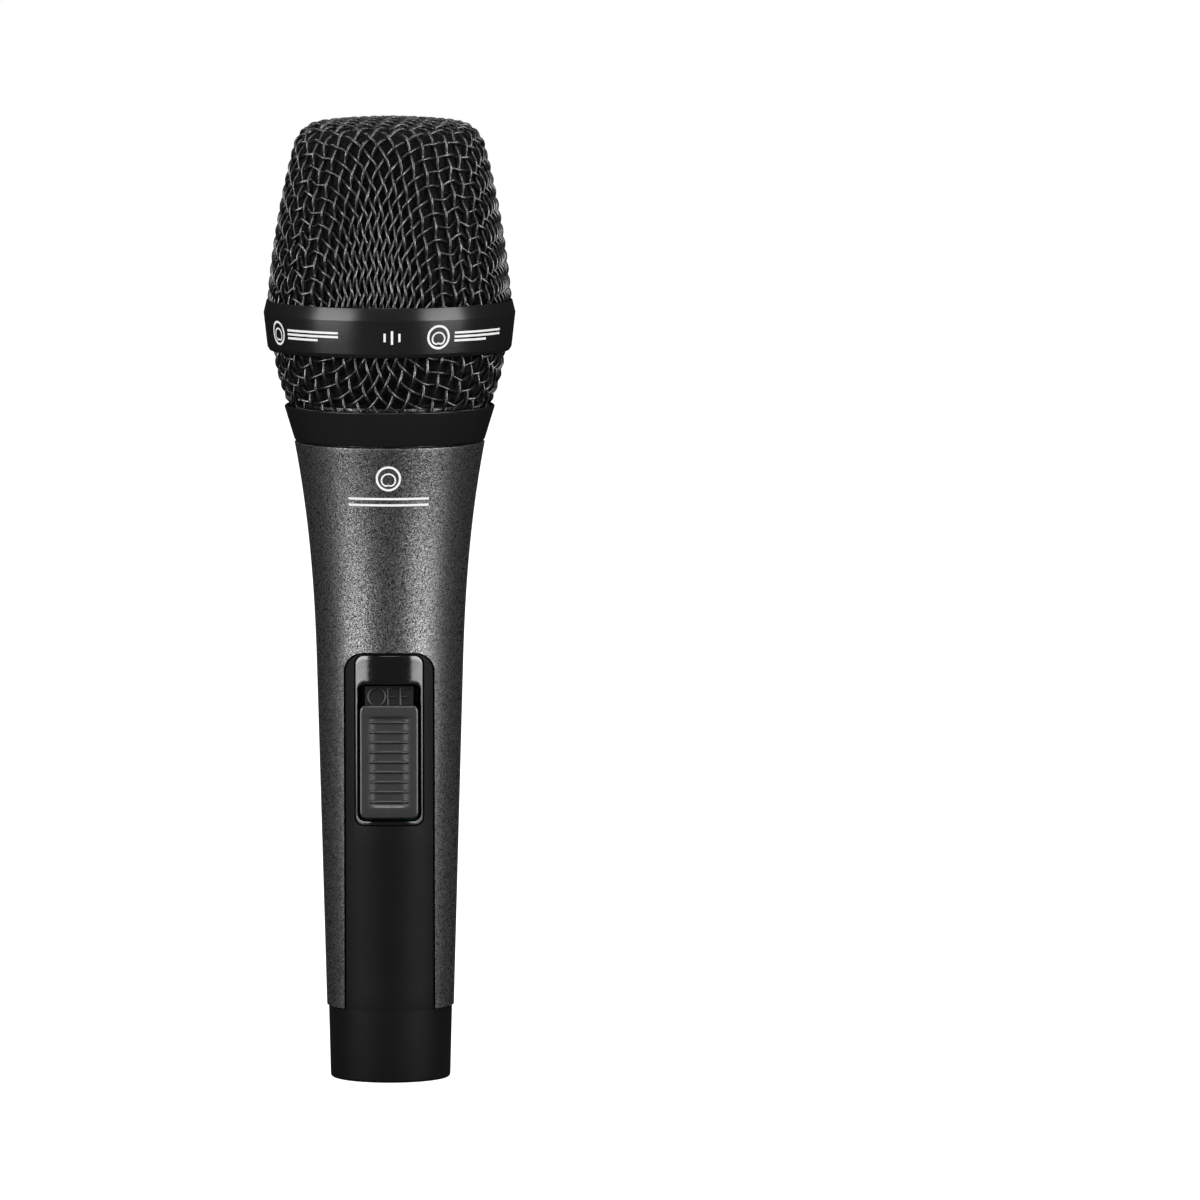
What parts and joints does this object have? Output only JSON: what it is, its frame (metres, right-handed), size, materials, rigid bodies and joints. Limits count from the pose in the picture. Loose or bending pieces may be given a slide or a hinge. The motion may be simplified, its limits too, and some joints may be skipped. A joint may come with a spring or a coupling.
{
  "type": "dynamic microphone",
  "caption": "Handheld dynamic microphone: flared metal handle with a slide switch and a three-pin tail, banded wire-mesh head that unscrews from the neck.",
  "frame": {"origin": "centre of the tail's end face, which is the bottom of the object as it stands", "axes": "+Z along the microphone's axis from the tail to the head, -Y towards the side with the slide switch, +X to the right of that side"},
  "size_m": [0.048, 0.048, 0.184],
  "materials": {
    "handle_paint": "dark grey metallic sparkle paint, fine grain",
    "black_metal": "satin black",
    "grille_steel": "woven steel wire, satin black coat",
    "black_plastic": "moulded, fine satin",
    "gloss_plastic": "smooth gloss black",
    "knob_plastic": "moulded, satin",
    "rubber": "matt",
    "foam": "open-cell black foam",
    "felt": "acoustic felt",
    "steel": "plated",
    "magnet_steel": "nickel plated",
    "aluminium": "turned",
    "brass": "turned and plated",
    "copper": "enamelled wire",
    "diaphragm_film": "clear film",
    "circuit_board": "solder mask",
    "lead_insulation": "smooth"
  },
  "bodies": {
    "body": {"handle_shell": "handle_paint", "tail_housing": "black_plastic", "switch_bezel": "gloss_plastic", "switch_frame": "steel", "switch_case": "steel", "switch_board": "circuit_board", "board_screw_lower": "steel", "board_screw_upper": "steel", "xlr_insert": "black_plastic", "xlr_pin_1": "brass", "xlr_pin_2": "brass", "xlr_pin_3": "brass", "xlr_lock_screw": "steel", "capsule_carrier": "black_plastic", "shock_mount": "rubber", "capsule_housing": "aluminium", "capsule_cap": "aluminium", "magnet_pot": "steel", "magnet": "magnet_steel", "pole_plate": "steel", "diaphragm_seat": "brass", "port_felt": "felt", "front_felt": "felt", "capsule_tab_hot": "brass", "capsule_tab_cold": "brass", "lead_capsule_hot": "lead_insulation", "lead_capsule_cold": "lead_insulation", "lead_xlr_hot": "lead_insulation", "lead_xlr_cold": "lead_insulation", "lead_xlr_ground": "lead_insulation"},
    "switch": {"switch_knob": "knob_plastic", "switch_actuator": "black_plastic"},
    "liner": {"foam_liner": "foam"},
    "head": {"upper_grille": "grille_steel", "lower_grille": "grille_steel", "grille_band": "black_metal", "clamp_ring": "black_metal", "grille_collar": "black_metal"},
    "voice_assembly": {"diaphragm": "diaphragm_film", "voice_coil": "copper"}
  },
  "joints": [
    {"name": "switch_slide", "type": "slide", "parent": "body", "child": "switch", "axis": [0, 0, 1], "range_m": [0, 0.0036]},
    {"name": "head_lift", "type": "slide", "parent": "body", "child": "liner", "axis": [0, 0, 1], "range_m": [0, 0.00605]},
    {"name": "head_turn", "type": "hinge", "parent": "liner", "child": "head", "pos_m": [0, 0, 0.1223], "axis": [0, 0, 1], "range_deg": [0, 1080]},
    {"name": "diaphragm_travel", "type": "slide", "parent": "body", "child": "voice_assembly", "axis": [0, 0, 1], "range_m": [-0.0003, 0.0003], "stiffness_N_per_m": 400}
  ],
  "couplings": [
    {"joint": "head_lift", "follows": "head_turn", "m_per_rad": 0.00031831}
  ]
}
